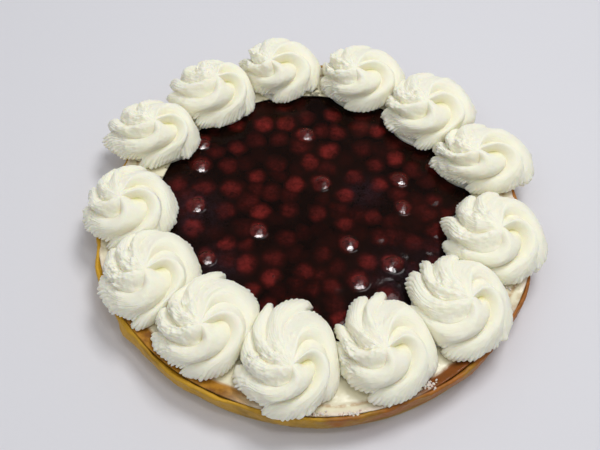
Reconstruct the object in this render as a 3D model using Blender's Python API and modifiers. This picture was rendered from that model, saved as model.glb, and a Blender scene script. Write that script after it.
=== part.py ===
"""Round cherry flan with a ring of piped cream rosettes, in metres, +Z up.

The origin is the centre of the flat underside. -Y is the side nearest the viewer.
"""
import math
import random

import bmesh
import bpy

MM = 0.001

# Crust: a shallow pan of baked pastry that flares towards its rim
RIM_RADIUS = 0.1400
FOOT_RADIUS = 0.1345
CRUST_HEIGHT = 0.0230
CRUST_BASE = 0.0040
WALL_AT_FOOT = 0.0045
WALL_AT_RIM = 0.0026
PAN_CORNER = 0.0015
CRUST_STEPS = 64
RIM_SWAY = 0.0010
RIM_WAVES = ((0.5, 3, 0.6), (0.3, 5, 2.1), (0.2, 11, 0.0))
RIM_LIFT = 0.0004
RIM_LIFTS_ROUND = 4
FAR_TUCK = 0.0040
BUBBLE_ANGLE = math.radians(-140)
BUBBLE_WIDTH = math.radians(2.4)
BUBBLE_HEIGHT = 0.0138
BUBBLE_TALL = 0.0058
BUBBLE_OUT = 0.0022

# Fillings, from the pale layer up to the cherries
GAP = 0.0003
WALL_GAP = 0.0005
CUSTARD_TOP = 0.0225
CUSTARD_EDGE = 0.0060
CUSTARD_EDGE_DROP = 0.0008
CUSTARD_BED = 0.0084
CHERRY_RADIUS = 0.1060
JELLY_TOP = 0.0208
CHERRY_SIZE = 0.0150
CHERRY_FLATNESS = 0.78
CHERRY_SIDES = 9
CHERRY_BANDS = 8
CHERRY_PITCH = 0.0152
CHERRY_FIELD = 0.0960
CHERRY_TRIES = 2600
CHERRY_RISE = (0.0003, 0.0017)
CHERRY_SEED = 11
# Cherries that stand proud of the jelly: where each one lies (mm), and how far the proudest rise
PROUD_CHERRIES = (
    (-78, 34), (-79, 53), (-76, 2), (-35, -15), (-65, -38), (54, 35),
    (23, -19), (50, -32), (56, 12), (30, -47), (3, 27), (-10, 68),
)
PROUD_RISE = (0.0020, 0.0027)

# Rosettes, clockwise from the far side. Each one's place on the ring (degrees, ring radius in mm),
# its foot's half-sizes along X and Y, and how far its eye lies from the middle of its foot (mm)
RING_CENTRE = (-0.0035, 0.0077)
ROSETTES = (
    (104, 115, 29.5, 30, -7, -12),
    (75, 113, 32, 31, -6, -11),
    (48, 112, 34, 34.5, -3, -10),
    (22, 118.5, 35.5, 29, -6, -11),
    (-9, 116.5, 34, 35.5, 1, -8),
    (-37, 114.5, 33, 36.5, 5, -8),
    (-64, 112, 31, 35.5, -1, -13),
    (-93, 112.5, 32.5, 37.5, 3, -16),
    (-120, 109, 33, 35, -1, -13),
    (-145, 112.5, 31, 36, 0, -10),
    (-172, 113, 30.5, 33, -4, -8),
    (157, 116.5, 33, 28, 3, -7),
    (131, 111, 32, 30, 4, -3),
)
ROSETTE_BASE = 0.0238
ROSETTE_HEIGHT = 0.0255
ROSETTE_FULLNESS = 2.2
ROSETTE_RINGS = 10
PRESS_SOFTNESS = 0.0010

# Swirl: where each groove starts round the eye and how far it turns clockwise on its way out (degrees)
GROOVES = ((-84, 88), (25, 132), (75, 112), (125, 42), (165, 45), (208, 52))
STRAIGHT_TURN = 0.30
TURN_FROM = 0.18
TURN_TO = 0.82
RIDGE_DEPTH = 0.0052
RIDGE_FULL_AT = 0.32
SCALLOP_FROM = 0.7
SCALLOP_SHARE = 0.5
RIDGE_PROFILE = ((0.0, 0.0), (0.18, 0.85), (0.42, 1.0), (0.68, 0.72), (0.88, 0.25))
LUMP_PLACE = (-0.008, 0.005)
LUMP_WIDTH = 0.007
LUMP_HEIGHT = 0.0022

# Colours and roughness of the four materials
CRUST_LOOK = ((0.56, 0.27, 0.07, 1), 0.55)
CUSTARD_LOOK = ((0.71, 0.62, 0.44, 1), 0.35)
CHERRY_LOOK = ((0.045, 0.006, 0.008, 1), 0.12)
CREAM_LOOK = ((0.90, 0.88, 0.76, 1), 0.50)


def clear_scene():
    for item in list(bpy.data.objects):
        bpy.data.objects.remove(item, do_unlink=True)


def new_collection(name):
    collection = bpy.data.collections.new(name)
    bpy.context.scene.collection.children.link(collection)
    return collection


def new_material(name, look):
    colour, roughness = look
    material = bpy.data.materials.new(name)
    material.use_nodes = True
    shader = material.node_tree.nodes["Principled BSDF"]
    shader.inputs["Base Color"].default_value = colour
    shader.inputs["Roughness"].default_value = roughness
    shader.inputs["Metallic"].default_value = 0.0
    return material


def new_object(name, vertices, faces, collection, material=None):
    mesh = bpy.data.meshes.new(name)
    mesh.from_pydata(vertices, [], faces)
    mesh.update()
    item = bpy.data.objects.new(name, mesh)
    collection.objects.link(item)
    if material:
        mesh.materials.append(material)
    return item


def bake_modifiers(item):
    """Makes the evaluated shape the object's own mesh."""
    evaluated = item.evaluated_get(bpy.context.evaluated_depsgraph_get())
    mesh = bpy.data.meshes.new_from_object(evaluated)
    item.modifiers.clear()
    item.data = mesh
    return mesh


def smooth_step(value):
    value = min(1.0, max(0.0, value))
    return value * value * (3 - 2 * value)


def wall_sway(angle, height):
    """How far the pastry wall stands out of round: nothing at the foot, most at the rim."""
    wave = sum(share * math.sin(count * angle + phase) for share, count, phase in RIM_WAVES)
    tuck = FAR_TUCK * smooth_step((math.sin(angle) + 0.15) / 0.6)
    return (RIM_SWAY * wave - tuck) * min(1.0, height / CRUST_HEIGHT)


def bubble(angle, height):
    """A blister that rose from the outer wall while baking."""
    turn = (angle - BUBBLE_ANGLE + math.pi) % (2 * math.pi) - math.pi
    rise = (height - BUBBLE_HEIGHT) / BUBBLE_TALL
    return BUBBLE_OUT * math.exp(-((turn / BUBBLE_WIDTH) ** 2) - rise ** 2)


def turned(name, profile, collection, material):
    """Turns a profile of (radius, height) points, outer side running downwards, round the Z axis."""
    vertices = [(radius, 0.0, height) for radius, height in profile]
    edges = [(i, i + 1) for i in range(len(profile) - 1)]
    mesh = bpy.data.meshes.new(name)
    mesh.from_pydata(vertices, edges, [])
    mesh.materials.append(material)
    item = bpy.data.objects.new(name, mesh)
    collection.objects.link(item)
    screw = item.modifiers.new("Turn", "SCREW")
    screw.steps = CRUST_STEPS
    screw.render_steps = CRUST_STEPS
    screw.use_merge_vertices = True
    screw.merge_threshold = 0.00001
    return item


def wall_inside(height):
    """The radius of the pan's straight inner face, from the corner at its base up to its rim."""
    foot_height = CRUST_BASE + PAN_CORNER
    rim_height = CRUST_HEIGHT - WALL_AT_RIM / 2
    foot = FOOT_RADIUS - WALL_AT_FOOT
    return foot + (RIM_RADIUS - WALL_AT_RIM - foot) * (height - foot_height) / (rim_height - foot_height)


def wall_outside(height):
    """The radius of the pan's outer face, steep at the rim and rounding in towards the foot."""
    return FOOT_RADIUS + (RIM_RADIUS - FOOT_RADIUS) * math.sin(height / CRUST_HEIGHT * math.pi / 2)


def make_crust(collection, material):
    edge = WALL_AT_RIM / 2
    rim_centre = RIM_RADIUS - edge
    foot_inside = FOOT_RADIUS - WALL_AT_FOOT
    profile = [(0.0, CRUST_BASE)]
    profile.append((foot_inside - PAN_CORNER, CRUST_BASE))
    profile.append((foot_inside, CRUST_BASE + PAN_CORNER))
    for degrees in (180, 135, 90, 45, 0):
        turn = math.radians(degrees)
        height = CRUST_HEIGHT - edge + edge * math.sin(turn)
        profile.append((rim_centre + edge * math.cos(turn), height))
    for height in (CRUST_HEIGHT * 2 / 3, CRUST_HEIGHT / 3, PAN_CORNER):
        profile.append((wall_outside(height), height))
    profile.append((FOOT_RADIUS - PAN_CORNER / 2, 0.0))
    profile.append((0.0, 0.0))
    crust = turned("crust", profile, collection, material)
    mesh = bake_modifiers(crust)
    for vertex in mesh.vertices:
        radius = math.hypot(vertex.co.x, vertex.co.y)
        if radius < foot_inside - PAN_CORNER * 2:
            continue
        angle = math.atan2(vertex.co.y, vertex.co.x)
        height = vertex.co.z
        outward = wall_sway(angle, height)
        if radius > wall_inside(height) + WALL_AT_RIM * 0.6:
            outward += bubble(angle, height)
        vertex.co.x *= (radius + outward) / radius
        vertex.co.y *= (radius + outward) / radius
        upper = smooth_step(height / CRUST_HEIGHT * 2 - 1)
        vertex.co.z += RIM_LIFT * math.sin(RIM_LIFTS_ROUND * angle + 1) * upper
    return crust


def make_custard(collection, material):
    low = CRUST_BASE + GAP
    bed = CHERRY_RADIUS + GAP
    edge_height = CUSTARD_TOP - CUSTARD_EDGE_DROP
    foot_height = low + PAN_CORNER
    profile = [
        (0.0, CUSTARD_BED),
        (bed, CUSTARD_BED),
        (bed, edge_height),
        (bed + CUSTARD_EDGE / 2, CUSTARD_TOP),
        (wall_inside(edge_height) - CUSTARD_EDGE, CUSTARD_TOP),
        (wall_inside(edge_height) - WALL_GAP, edge_height),
        (wall_inside(foot_height) - WALL_GAP, foot_height),
        (wall_inside(foot_height) - WALL_GAP - PAN_CORNER, low),
        (0.0, low),
    ]
    custard = turned("custard_layer", profile, collection, material)
    mesh = bake_modifiers(custard)
    for vertex in mesh.vertices:
        radius = math.hypot(vertex.co.x, vertex.co.y)
        if radius > bed + CUSTARD_EDGE:
            outward = wall_sway(math.atan2(vertex.co.y, vertex.co.x), vertex.co.z)
            vertex.co.x *= (radius + outward) / radius
            vertex.co.y *= (radius + outward) / radius
    return custard


def cherry_places():
    """The proud cherries' places, then places drawn for the rest, none nearer than the pitch."""
    draw = random.Random(CHERRY_SEED)
    places = [(x * MM, y * MM) for x, y in PROUD_CHERRIES]
    for _ in range(CHERRY_TRIES):
        distance = CHERRY_FIELD * math.sqrt(draw.random())
        angle = draw.uniform(0, 2 * math.pi)
        x = distance * math.cos(angle)
        y = distance * math.sin(angle)
        if all(math.hypot(x - px, y - py) > CHERRY_PITCH for px, py in places):
            places.append((x, y))
    return places


def make_cherry_filling(collection, cutters, material):
    """A disc of set cherry jelly with the cherries that break its surface fused on."""
    low = CUSTARD_BED + GAP
    bpy.ops.mesh.primitive_cylinder_add(
        vertices=CRUST_STEPS, radius=CHERRY_RADIUS, depth=JELLY_TOP - low,
        location=(0, 0, (JELLY_TOP + low) / 2))
    filling = bpy.context.object
    filling.name = "cherry_filling"
    filling.data.name = "cherry_filling"
    filling.data.materials.append(material)
    for owner in list(filling.users_collection):
        owner.objects.unlink(filling)
    collection.objects.link(filling)
    draw = random.Random(CHERRY_SEED + 1)
    for number, (x, y) in enumerate(cherry_places()):
        radius = CHERRY_SIZE / 2 * draw.uniform(0.9, 1.08)
        half_height = radius * CHERRY_FLATNESS
        proud = number < len(PROUD_CHERRIES)
        top = JELLY_TOP + draw.uniform(*(PROUD_RISE if proud else CHERRY_RISE))
        ball = bmesh.new()
        bmesh.ops.create_uvsphere(ball, u_segments=CHERRY_SIDES, v_segments=CHERRY_BANDS, radius=1.0)
        mesh = bpy.data.meshes.new("cherry")
        ball.to_mesh(mesh)
        ball.free()
        cherry = bpy.data.objects.new("cherry", mesh)
        cherry.location = (x, y, top - half_height)
        cherry.rotation_euler = (0, 0, draw.uniform(0, math.pi))
        cherry.scale = (radius, radius * draw.uniform(0.88, 1.0), half_height)
        cherry.hide_render = True
        cherry.display_type = "WIRE"
        cutters.objects.link(cherry)
    union = filling.modifiers.new("Cherries", "BOOLEAN")
    union.operation = "UNION"
    union.operand_type = "COLLECTION"
    union.collection = cutters
    union.solver = "MANIFOLD"
    bpy.context.view_layer.update()
    bake_modifiers(filling)
    for cherry in list(cutters.objects):
        bpy.data.objects.remove(cherry, do_unlink=True)
    return filling


def swirl_lines():
    """The lines round a rosette: where each starts, how far it turns, and its share of ridge height."""
    lines = []
    for number, (start, turn) in enumerate(GROOVES):
        next_start, next_turn = GROOVES[(number + 1) % len(GROOVES)]
        if next_start < start:
            next_start += 360
        for share, height in RIDGE_PROFILE:
            line_start = start + (next_start - start) * share
            line_turn = turn + (next_turn - turn) * share
            lines.append((math.radians(line_start), math.radians(line_turn), height))
    return lines


def swirl_point(half_sizes, eye, ring, line):
    """A point of the swirl, from its eye (ring 0) out along one line to the foot (ring 1)."""
    start, turn, height = line
    tilt = ring * math.pi / 2
    spread = math.sin(tilt) ** (2 / ROSETTE_FULLNESS)
    rise = max(0.0, math.cos(tilt)) ** (2 / ROSETTE_FULLNESS)
    turned_share = smooth_step((ring - TURN_FROM) / (TURN_TO - TURN_FROM))
    angle = start - turn * (STRAIGHT_TURN * ring + (1 - STRAIGHT_TURN) * turned_share)
    depth = RIDGE_DEPTH * smooth_step(ring / RIDGE_FULL_AT) * (1 - height)
    depth *= 1 - (1 - SCALLOP_SHARE) * smooth_step((ring - SCALLOP_FROM) / (1 - SCALLOP_FROM))
    x = eye[0] * (1 - spread) + (half_sizes[0] * spread - depth * math.sin(tilt)) * math.cos(angle)
    y = eye[1] * (1 - spread) + (half_sizes[1] * spread - depth * math.sin(tilt)) * math.sin(angle)
    z = ROSETTE_HEIGHT * rise - depth * math.cos(tilt)
    lump = math.hypot(x - eye[0] - LUMP_PLACE[0], y - eye[1] - LUMP_PLACE[1]) / LUMP_WIDTH
    z += LUMP_HEIGHT * math.exp(-lump * lump) * rise
    return x, y, z


def press(x, y, towards):
    """Flattens the side of a rosette that leans on its neighbour, up to the plane between the two."""
    reach = math.hypot(*towards)
    nx, ny = towards[0] / reach, towards[1] / reach
    beyond = (x * nx + y * ny - (reach / 2 - GAP)) / PRESS_SOFTNESS
    kept = -PRESS_SOFTNESS * math.log1p(math.exp(-beyond))
    move = kept - beyond * PRESS_SOFTNESS
    return x + nx * move, y + ny * move


def rosette_centre(number):
    angle, ring_radius = ROSETTES[number % len(ROSETTES)][:2]
    turn = math.radians(angle)
    x = RING_CENTRE[0] + ring_radius * MM * math.cos(turn)
    y = RING_CENTRE[1] + ring_radius * MM * math.sin(turn)
    return x, y


def make_rosette(number, collection, material):
    """Lofts one piped swirl from its eye down to its flat foot."""
    half_x, half_y, eye_x, eye_y = (size * MM for size in ROSETTES[number][2:])
    eye = (eye_x, eye_y)
    centre = rosette_centre(number)
    sides = []
    for step in (-1, 1):
        other = rosette_centre(number + step)
        sides.append((other[0] - centre[0], other[1] - centre[1]))
    lines = swirl_lines()
    count = len(lines)
    rings = [(eye[0], eye[1], ROSETTE_HEIGHT)]
    for ring in range(1, ROSETTE_RINGS + 1):
        for line in lines:
            x, y, z = swirl_point((half_x, half_y), eye, ring / ROSETTE_RINGS, line)
            for towards in sides:
                x, y = press(x, y, towards)
            rings.append((x, y, z))
    rings.append((0.0, 0.0, 0.0))
    faces = []
    last = len(rings) - 1
    for side in range(count):
        after = (side + 1) % count
        faces.append((0, 1 + side, 1 + after))
        for ring in range(ROSETTE_RINGS - 1):
            upper = 1 + ring * count
            lower = upper + count
            faces.append((upper + side, lower + side, lower + after))
            faces.append((upper + side, lower + after, upper + after))
        foot = 1 + (ROSETTE_RINGS - 1) * count
        faces.append((foot + side, last, foot + after))
    name = "rosette_%02d" % (number + 1)
    rosette = new_object(name, rings, faces, collection, material)
    rosette.location = (centre[0], centre[1], ROSETTE_BASE)
    rosette.data.shade_smooth()
    return rosette


def main():
    clear_scene()
    flan = new_collection("Cherry flan")
    cutters = new_collection("Fused cherries")
    make_crust(flan, new_material("crust", CRUST_LOOK))
    make_custard(flan, new_material("custard", CUSTARD_LOOK))
    make_cherry_filling(flan, cutters, new_material("cherry", CHERRY_LOOK))
    cream = new_material("cream", CREAM_LOOK)
    for number in range(len(ROSETTES)):
        make_rosette(number, flan, cream)


main()
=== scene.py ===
"""Finished look of a round cherry flan with piped cream rosettes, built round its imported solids.

Laid out as an add-on: settings, one operator for each piece or group of pieces, and a sidebar panel.
All sizes are in metres. The origin is the centre of the flat underside, and -Y is the near side.
"""

import math
import random

import bpy
import numpy as np
from mathutils import Matrix, Vector


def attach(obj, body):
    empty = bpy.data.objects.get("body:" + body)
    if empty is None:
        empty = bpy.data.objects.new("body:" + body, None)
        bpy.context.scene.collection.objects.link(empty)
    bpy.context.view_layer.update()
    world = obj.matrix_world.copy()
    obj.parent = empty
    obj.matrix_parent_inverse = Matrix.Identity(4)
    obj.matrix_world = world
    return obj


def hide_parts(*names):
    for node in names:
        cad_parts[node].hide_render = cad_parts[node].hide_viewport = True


bl_info = {
    "name": "Cherry Flan Finish",
    "version": (1, 0, 0),
    "blender": (4, 5, 0),
    "location": "3D View > Sidebar > Flan",
    "description": "Builds the crust, custard, cherries and piped cream of a round flan",
    "category": "Object",
}

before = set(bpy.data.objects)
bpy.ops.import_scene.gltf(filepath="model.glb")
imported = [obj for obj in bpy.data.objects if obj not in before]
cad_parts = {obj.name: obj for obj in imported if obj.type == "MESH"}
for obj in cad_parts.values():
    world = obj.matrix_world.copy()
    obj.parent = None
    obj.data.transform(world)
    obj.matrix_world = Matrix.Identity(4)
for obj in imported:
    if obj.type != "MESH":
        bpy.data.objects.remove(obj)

MM = 0.001
TAU = 2 * math.pi
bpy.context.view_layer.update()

# Crust: the pan's sizes, as its solid has them
RIM_RADIUS = 0.1400
FOOT_RADIUS = 0.1345
CRUST_HEIGHT = 0.0230
CRUST_BASE = 0.0040
WALL_AT_FOOT = 0.0045
FOOT_INSIDE = FOOT_RADIUS - WALL_AT_FOOT
WALL_AT_RIM = 0.0026
PAN_CORNER = 0.0015
RIM_SWAY = 0.0010
# Each wave of the rim: its share of the sway, how many go round, and its phase
RIM_WAVES = ((0.5, 3, 0.6), (0.3, 5, 2.1), (0.2, 11, 0.0))
RIM_LIFT = 0.0004
RIM_LIFTS_ROUND = 4
# How far the hidden far wall is drawn in, and the sines of the angles where that starts and is full
FAR_TUCK = 0.0078
TUCK_BETWEEN = (-0.15, 0.20)
BUBBLE_ANGLE = math.radians(-140)
BUBBLE_WIDTH = math.radians(2.4)
BUBBLE_HEIGHT = 0.0138
BUBBLE_TALL = 0.0058
BUBBLE_OUT = 0.0022

# Fillings
WALL_GAP = 0.0002
FILLING_GAP = 0.0003
CUSTARD_TOP = 0.0225
CUSTARD_LOW = 0.0043
CUSTARD_BED = 0.0084
CHERRY_RADIUS = 0.1060
JELLY_TOP = 0.0208
JELLY_LOW = 0.0087
CHERRY_SIZE = 0.0150
CHERRY_GROWTH = (0.9, 1.08)
CHERRY_OVAL = (0.88, 1.0)
CHERRY_FLATNESS = 0.78
CHERRY_PITCH = 0.0152
CHERRY_FIELD = 0.0960
CHERRY_TRIES = 2600
CHERRY_RISE = (0.0003, 0.0017)
CHERRY_SEED = 11
# Cherries that stand proud of the jelly: where each one lies (mm), and how far the proudest rise
PROUD_CHERRIES = (
    (-78, 34), (-79, 53), (-76, 2), (-35, -15), (-65, -38), (54, 35),
    (23, -19), (50, -32), (56, 12), (30, -47), (3, 27), (-10, 68),
)
PROUD_RISE = (0.0020, 0.0027)

# Rosettes, clockwise from the far side. Each one's place on the ring (degrees, ring radius in mm),
# its foot's half-sizes along X and Y, and how far its eye lies from the middle of its foot (mm)
RING_CENTRE = (-0.0035, 0.0077)
ROSETTES = (
    (104, 115, 29.5, 30, -7, -12),
    (75, 113, 32, 31, -6, -11),
    (48, 112, 34, 34.5, -3, -10),
    (22, 118.5, 35.5, 29, -6, -11),
    (-9, 116.5, 34, 35.5, 1, -8),
    (-37, 114.5, 33, 36.5, 5, -8),
    (-64, 112, 31, 35.5, -1, -13),
    (-93, 112.5, 32.5, 37.5, 3, -16),
    (-120, 109, 33, 35, -1, -13),
    (-145, 112.5, 31, 36, 0, -10),
    (-172, 113, 30.5, 33, -4, -8),
    (157, 116.5, 33, 28, 3, -7),
    (131, 111, 32, 30, 4, -3),
)
ROSETTE_BASE = 0.0238
ROSETTE_HEIGHT = 0.0255
ROSETTE_FULLNESS = 2.05

# Swirl: where each groove starts round the eye, how far it turns clockwise on its way out (degrees),
# how deep it is, as a share of the full depth, the ring at which it is that deep, and how far the
# petal that ends there stands in from the tip of the next one (mm)
GROOVES = (
    (-84, 88, 0.95, 0.26, 6.6),
    (25, 132, 1.25, 0.15, 4.2),
    (75, 112, 0.95, 0.28, 2.0),
    (125, 42, 0.8, 0.60, 7.5),
    (165, 45, 0.9, 0.62, 8.8),
    (208, 52, 1.1, 0.50, 8.4),
)
STRAIGHT_TURN = 0.30
TURN_FROM = 0.18
TURN_TO = 0.82


def smooth_step(value):
    value = np.clip(value, 0.0, 1.0)
    return value * value * (3 - 2 * value)


def rise_between(value, low, high):
    """0 up to low, 1 from high on, and a smooth rise in between."""
    return smooth_step((value - low) / (high - low))


def blend(low, high, share):
    return low + (high - low) * share


def angle_from(angle, middle):
    """How far each angle lies from the middle one, either way round."""
    return np.abs((angle - middle + math.pi) % TAU - math.pi)


# The noise's values, and how a cell finds its own: three primes, a mixer, a shift and a mask
GRAIN_TABLE = np.random.default_rng(5).uniform(-1, 1, 4096)
GRAIN_STEPS = ((73856093, 19349663, 83492791), 2654435761, 16, 4095)


def grain(points, size, seed, octaves=3):
    """Smooth noise from -1 to 1 at points, with grains of the given size, halved at each octave."""
    primes, mixer, shift, mask = GRAIN_STEPS
    points = np.asarray(points, float)
    total = np.zeros(len(points))
    strength = 1.0
    for octave in range(octaves):
        scaled = points / size * 2 ** octave + seed * 17.31 + octave * 5.7
        cell = np.floor(scaled).astype(np.int64)
        part = smooth_step(scaled - cell)
        for corner in range(8):
            step = np.array([corner & 1, corner >> 1 & 1, corner >> 2 & 1])
            place = (cell + step) * np.array(primes)
            key = place[:, 0] ^ place[:, 1] ^ place[:, 2]
            lattice = GRAIN_TABLE[(key * mixer >> shift) & mask]
            total += lattice * np.prod(np.where(step, part, 1 - part), axis=1) * strength
        strength /= 2
    return total / (2 - 2 * strength)


def grains(points, layers, seed=0):
    """The sum of layers of noise, each given by its strength, grain size, seed and octaves."""
    return sum(
        strength * grain(points, size, seed + own_seed, octaves)
        for strength, size, own_seed, octaves in layers)


def new_piece(name, points, faces, material, **attributes):
    """A smooth-shaded mesh object with float values at its points for the material to read."""
    mesh = bpy.data.meshes.new(name)
    mesh.from_pydata(np.asarray(points, float).tolist(), [], faces)
    mesh.update()
    for label, values in attributes.items():
        layer = mesh.attributes.new(label, "FLOAT", "POINT")
        layer.data.foreach_set("value", np.asarray(values, np.float32))
    mesh.materials.append(material)
    mesh.shade_smooth()
    piece = bpy.data.objects.new(name, mesh)
    bpy.context.scene.collection.objects.link(piece)
    return piece


def ring_faces(rings, count):
    """Quads between rings of count points, from the top down, closed round two last points."""
    faces = []
    for upper in range(0, (rings - 1) * count, count):
        lower = upper + count
        for side in range(count):
            after = (side + 1) % count
            faces.append((upper + side, lower + side, lower + after, upper + after))
    top = rings * count
    lowest = top - count
    for side in range(count):
        after = (side + 1) % count
        faces.append((top, side, after))
        faces.append((lowest + after, lowest + side, top + 1))
    return faces


def copied_faces(faces, count, copies):
    """The faces of a shape of count points, repeated for each of its copies."""
    return [tuple(corner + copy * count for corner in face) for copy in range(copies) for face in faces]


class Finish:
    """A material whose nodes are added one after another to its Principled shader."""

    def __init__(self, name, constants):
        self.material = bpy.data.materials.new(name)
        self.material.use_nodes = True
        self.tree = self.material.node_tree
        self.shader = self.tree.nodes["Principled BSDF"]
        for socket, value in constants.items():
            self.shader.inputs[socket].default_value = value
        self.place = self.add("ShaderNodeTexCoord").outputs["Object"]

    def feed(self, node, socket, item):
        """Links a node's socket to the item if that is a socket too, or else gives it that value."""
        if isinstance(item, bpy.types.NodeSocket):
            self.tree.links.new(item, node.inputs[socket])
        else:
            node.inputs[socket].default_value = item

    def add(self, kind, inputs=None, **settings):
        node = self.tree.nodes.new(kind)
        for setting, value in settings.items():
            setattr(node, setting, value)
        for socket, item in (inputs or {}).items():
            self.feed(node, socket, item)
        return node

    def noise(self, scale, detail=3.0, roughness=0.55):
        inputs = {"Vector": self.place, "Scale": scale, "Detail": detail, "Roughness": roughness}
        return self.add("ShaderNodeTexNoise", inputs).outputs["Fac"]

    def value_of(self, label):
        return self.add("ShaderNodeAttribute", attribute_name=label).outputs["Fac"]

    def spread(self, source, low, high, to_low=0.0, to_high=1.0):
        inputs = {"Value": source, "From Min": low, "From Max": high, "To Min": to_low, "To Max": to_high}
        return self.add("ShaderNodeMapRange", inputs).outputs["Result"]

    def maths(self, operation, first, second):
        return self.add("ShaderNodeMath", {0: first, 1: second}, operation=operation).outputs[0]

    def mix(self, share, first, second):
        """Mixes two colours by a share: each of the three is a socket or a value."""
        return self.add("ShaderNodeMix", {0: share, 6: first, 7: second}, data_type="RGBA").outputs[2]

    def ramp(self, source, *stops):
        """A colour ramp from (place, colour) stops."""
        node = self.add("ShaderNodeValToRGB", {"Fac": source})
        elements = node.color_ramp.elements
        while len(elements) < len(stops):
            elements.new(1.0)
        for element, (place, colour) in zip(elements, stops):
            element.position = place
            element.color = colour
        return node.outputs["Color"]

    def paint(self, colour):
        self.feed(self.shader, "Base Color", colour)

    def polish(self, roughness):
        self.feed(self.shader, "Roughness", roughness)

    def emboss(self, height, strength, distance):
        inputs = {"Height": height, "Strength": strength, "Distance": distance}
        self.feed(self.shader, "Normal", self.add("ShaderNodeBump", inputs).outputs["Normal"])


def rgba(colour, gain=1.0):
    return tuple(channel * gain for channel in tuple(colour)[:3]) + (1.0,)


def a_colour(name, description, default):
    return bpy.props.FloatVectorProperty(
        name=name, description=description, subtype="COLOR", default=default, min=0, max=1)


def a_length(name, description, default, most):
    return bpy.props.FloatProperty(
        name=name, description=description, unit="LENGTH", default=default, min=0, max=most)


def a_power(name, description, default):
    return bpy.props.FloatProperty(
        name=name, description=description, unit="POWER", default=default, min=0)


class CrustSettings(bpy.types.PropertyGroup):
    golden: a_colour("Golden crust", "Colour of the lightly baked wall", (0.59, 0.325, 0.020))
    brown: a_colour("Brown crust", "Colour of the well baked wall", (0.40, 0.135, 0.017))
    roughness_height: a_length("Crags", "How far the baked wall is out of true", 0.00085, 0.002)
    crumbs: bpy.props.FloatProperty(
        name="Crumbs", description="How many crumbs lie along the rim, as a share", subtype="FACTOR",
        default=1.0, min=0.1, max=1.0)


class CustardSettings(bpy.types.PropertyGroup):
    pale: a_colour("Custard", "Colour of the custard", (0.88, 0.83, 0.61))
    browned: a_colour("Browned skin", "Colour of the browned streaks near the rim", (0.42, 0.22, 0.07))


class CherrySettings(bpy.types.PropertyGroup):
    jelly: a_colour("Jelly", "Colour of deep jelly", (0.0033, 0.0011, 0.0006))
    fruit: a_colour("Cherry", "Colour of a cherry seen through the jelly", (0.105, 0.0100, 0.0080))


class CreamSettings(bpy.types.PropertyGroup):
    ivory: a_colour("Cream", "Colour of the whipped cream", (0.945, 0.915, 0.755))
    # Painted shade: this colour is painted deep in the swirl's grooves, for shade and light bounced inside
    # the cream
    crease: a_colour("Crease", "Colour deep in the swirl's grooves", (0.905, 0.87, 0.66))
    groove_depth: a_length("Groove depth", "Depth of the deepest grooves", 0.0056, 0.012)
    tooth: a_length("Ragged edge", "How far a petal's torn edge stands out and in", 0.0024, 0.004)


class StageSettings(bpy.types.PropertyGroup):
    floor: a_colour("Floor", "Colour of the floor", (0.725, 0.72, 0.75))
    key_power: a_power("Key light", "Power of the soft light at the back right", 12.4)
    fill_power: a_power("Fill light", "Power of the wide light overhead", 4.0)
    tube_power: a_power("Tube lights", "Power of each narrow light over the near side", 0.8)
    glint_power: a_power("Glint lights", "Power of each light that shines on the fruit alone", 38.0)


CRUST_TURNS = 720
INSIDE_STEPS = 12
RIM_STEPS = 10
OUTSIDE_STEPS = 22
# Crags of the baked wall: how strong each layer is, its grain size, seed and octaves
CRAGS = ((2.0, 0.022, 11, 1), (1.0, 0.007, 1, 3), (0.4, 0.0014, 2, 3))
UPPER_CRAGS = ((1.3, 0.011, 12, 1),)
CRAG_FOOT = 0.004
EDGE_CRAGS = ((0.0006, 0.006, 3, 3),)
EDGE_FROM = 0.018
EDGE_STRETCH = (1, 1, 0.2)
FOOT_LIP = 0.0009
FOOT_LIP_TALL = 0.0018
# Where the pastry's colour changes: across the flan, up to the rim and down to the foot
BROWN_ACROSS = (-0.05, 0.08)
BROWN_EDGE = (0.0195, 0.0226)
PALE_FOOT = (0.0030, 0.0010)
PALE_FOOT_TONE = (0.82, 0.62, 0.28, 1.0)


def wall_sway(angle, height):
    """How far the pastry wall stands out of round: nothing at the foot, most at the rim."""
    wave = sum(share * np.sin(count * angle + phase) for share, count, phase in RIM_WAVES)
    tuck = FAR_TUCK * rise_between(np.sin(angle), *TUCK_BETWEEN)
    return (RIM_SWAY * wave - tuck) * np.minimum(1.0, height / CRUST_HEIGHT)


def bubble(angle, height):
    """A blister that rose from the outer wall while baking."""
    turn = angle_from(angle, BUBBLE_ANGLE)
    rise = (height - BUBBLE_HEIGHT) / BUBBLE_TALL
    return BUBBLE_OUT * np.exp(-((turn / BUBBLE_WIDTH) ** 2) - rise ** 2)


def wall_inside(height):
    """The radius of the pan's straight inner face, from the corner at its base up to its rim."""
    foot_height = CRUST_BASE + PAN_CORNER
    rim_height = CRUST_HEIGHT - WALL_AT_RIM / 2
    share = (height - foot_height) / (rim_height - foot_height)
    return blend(FOOT_INSIDE, RIM_RADIUS - WALL_AT_RIM, share)


def wall_outside(height):
    """The radius of the pan's outer face, steep at the rim and rounding in towards the foot."""
    return FOOT_RADIUS + (RIM_RADIUS - FOOT_RADIUS) * np.sin(height / CRUST_HEIGHT * math.pi / 2)


def turn_profile(profile, turns):
    """Radius, height and angle of each point of a (radius, height) profile turned round the Z axis."""
    radius, height = np.repeat(np.array(profile), turns, axis=0).T
    angle = np.tile(np.arange(turns) * TAU / turns, len(profile))
    return radius, height, angle


def cylinder_points(radius, height, angle):
    return np.stack([radius * np.cos(angle), radius * np.sin(angle), height], axis=1)


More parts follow.
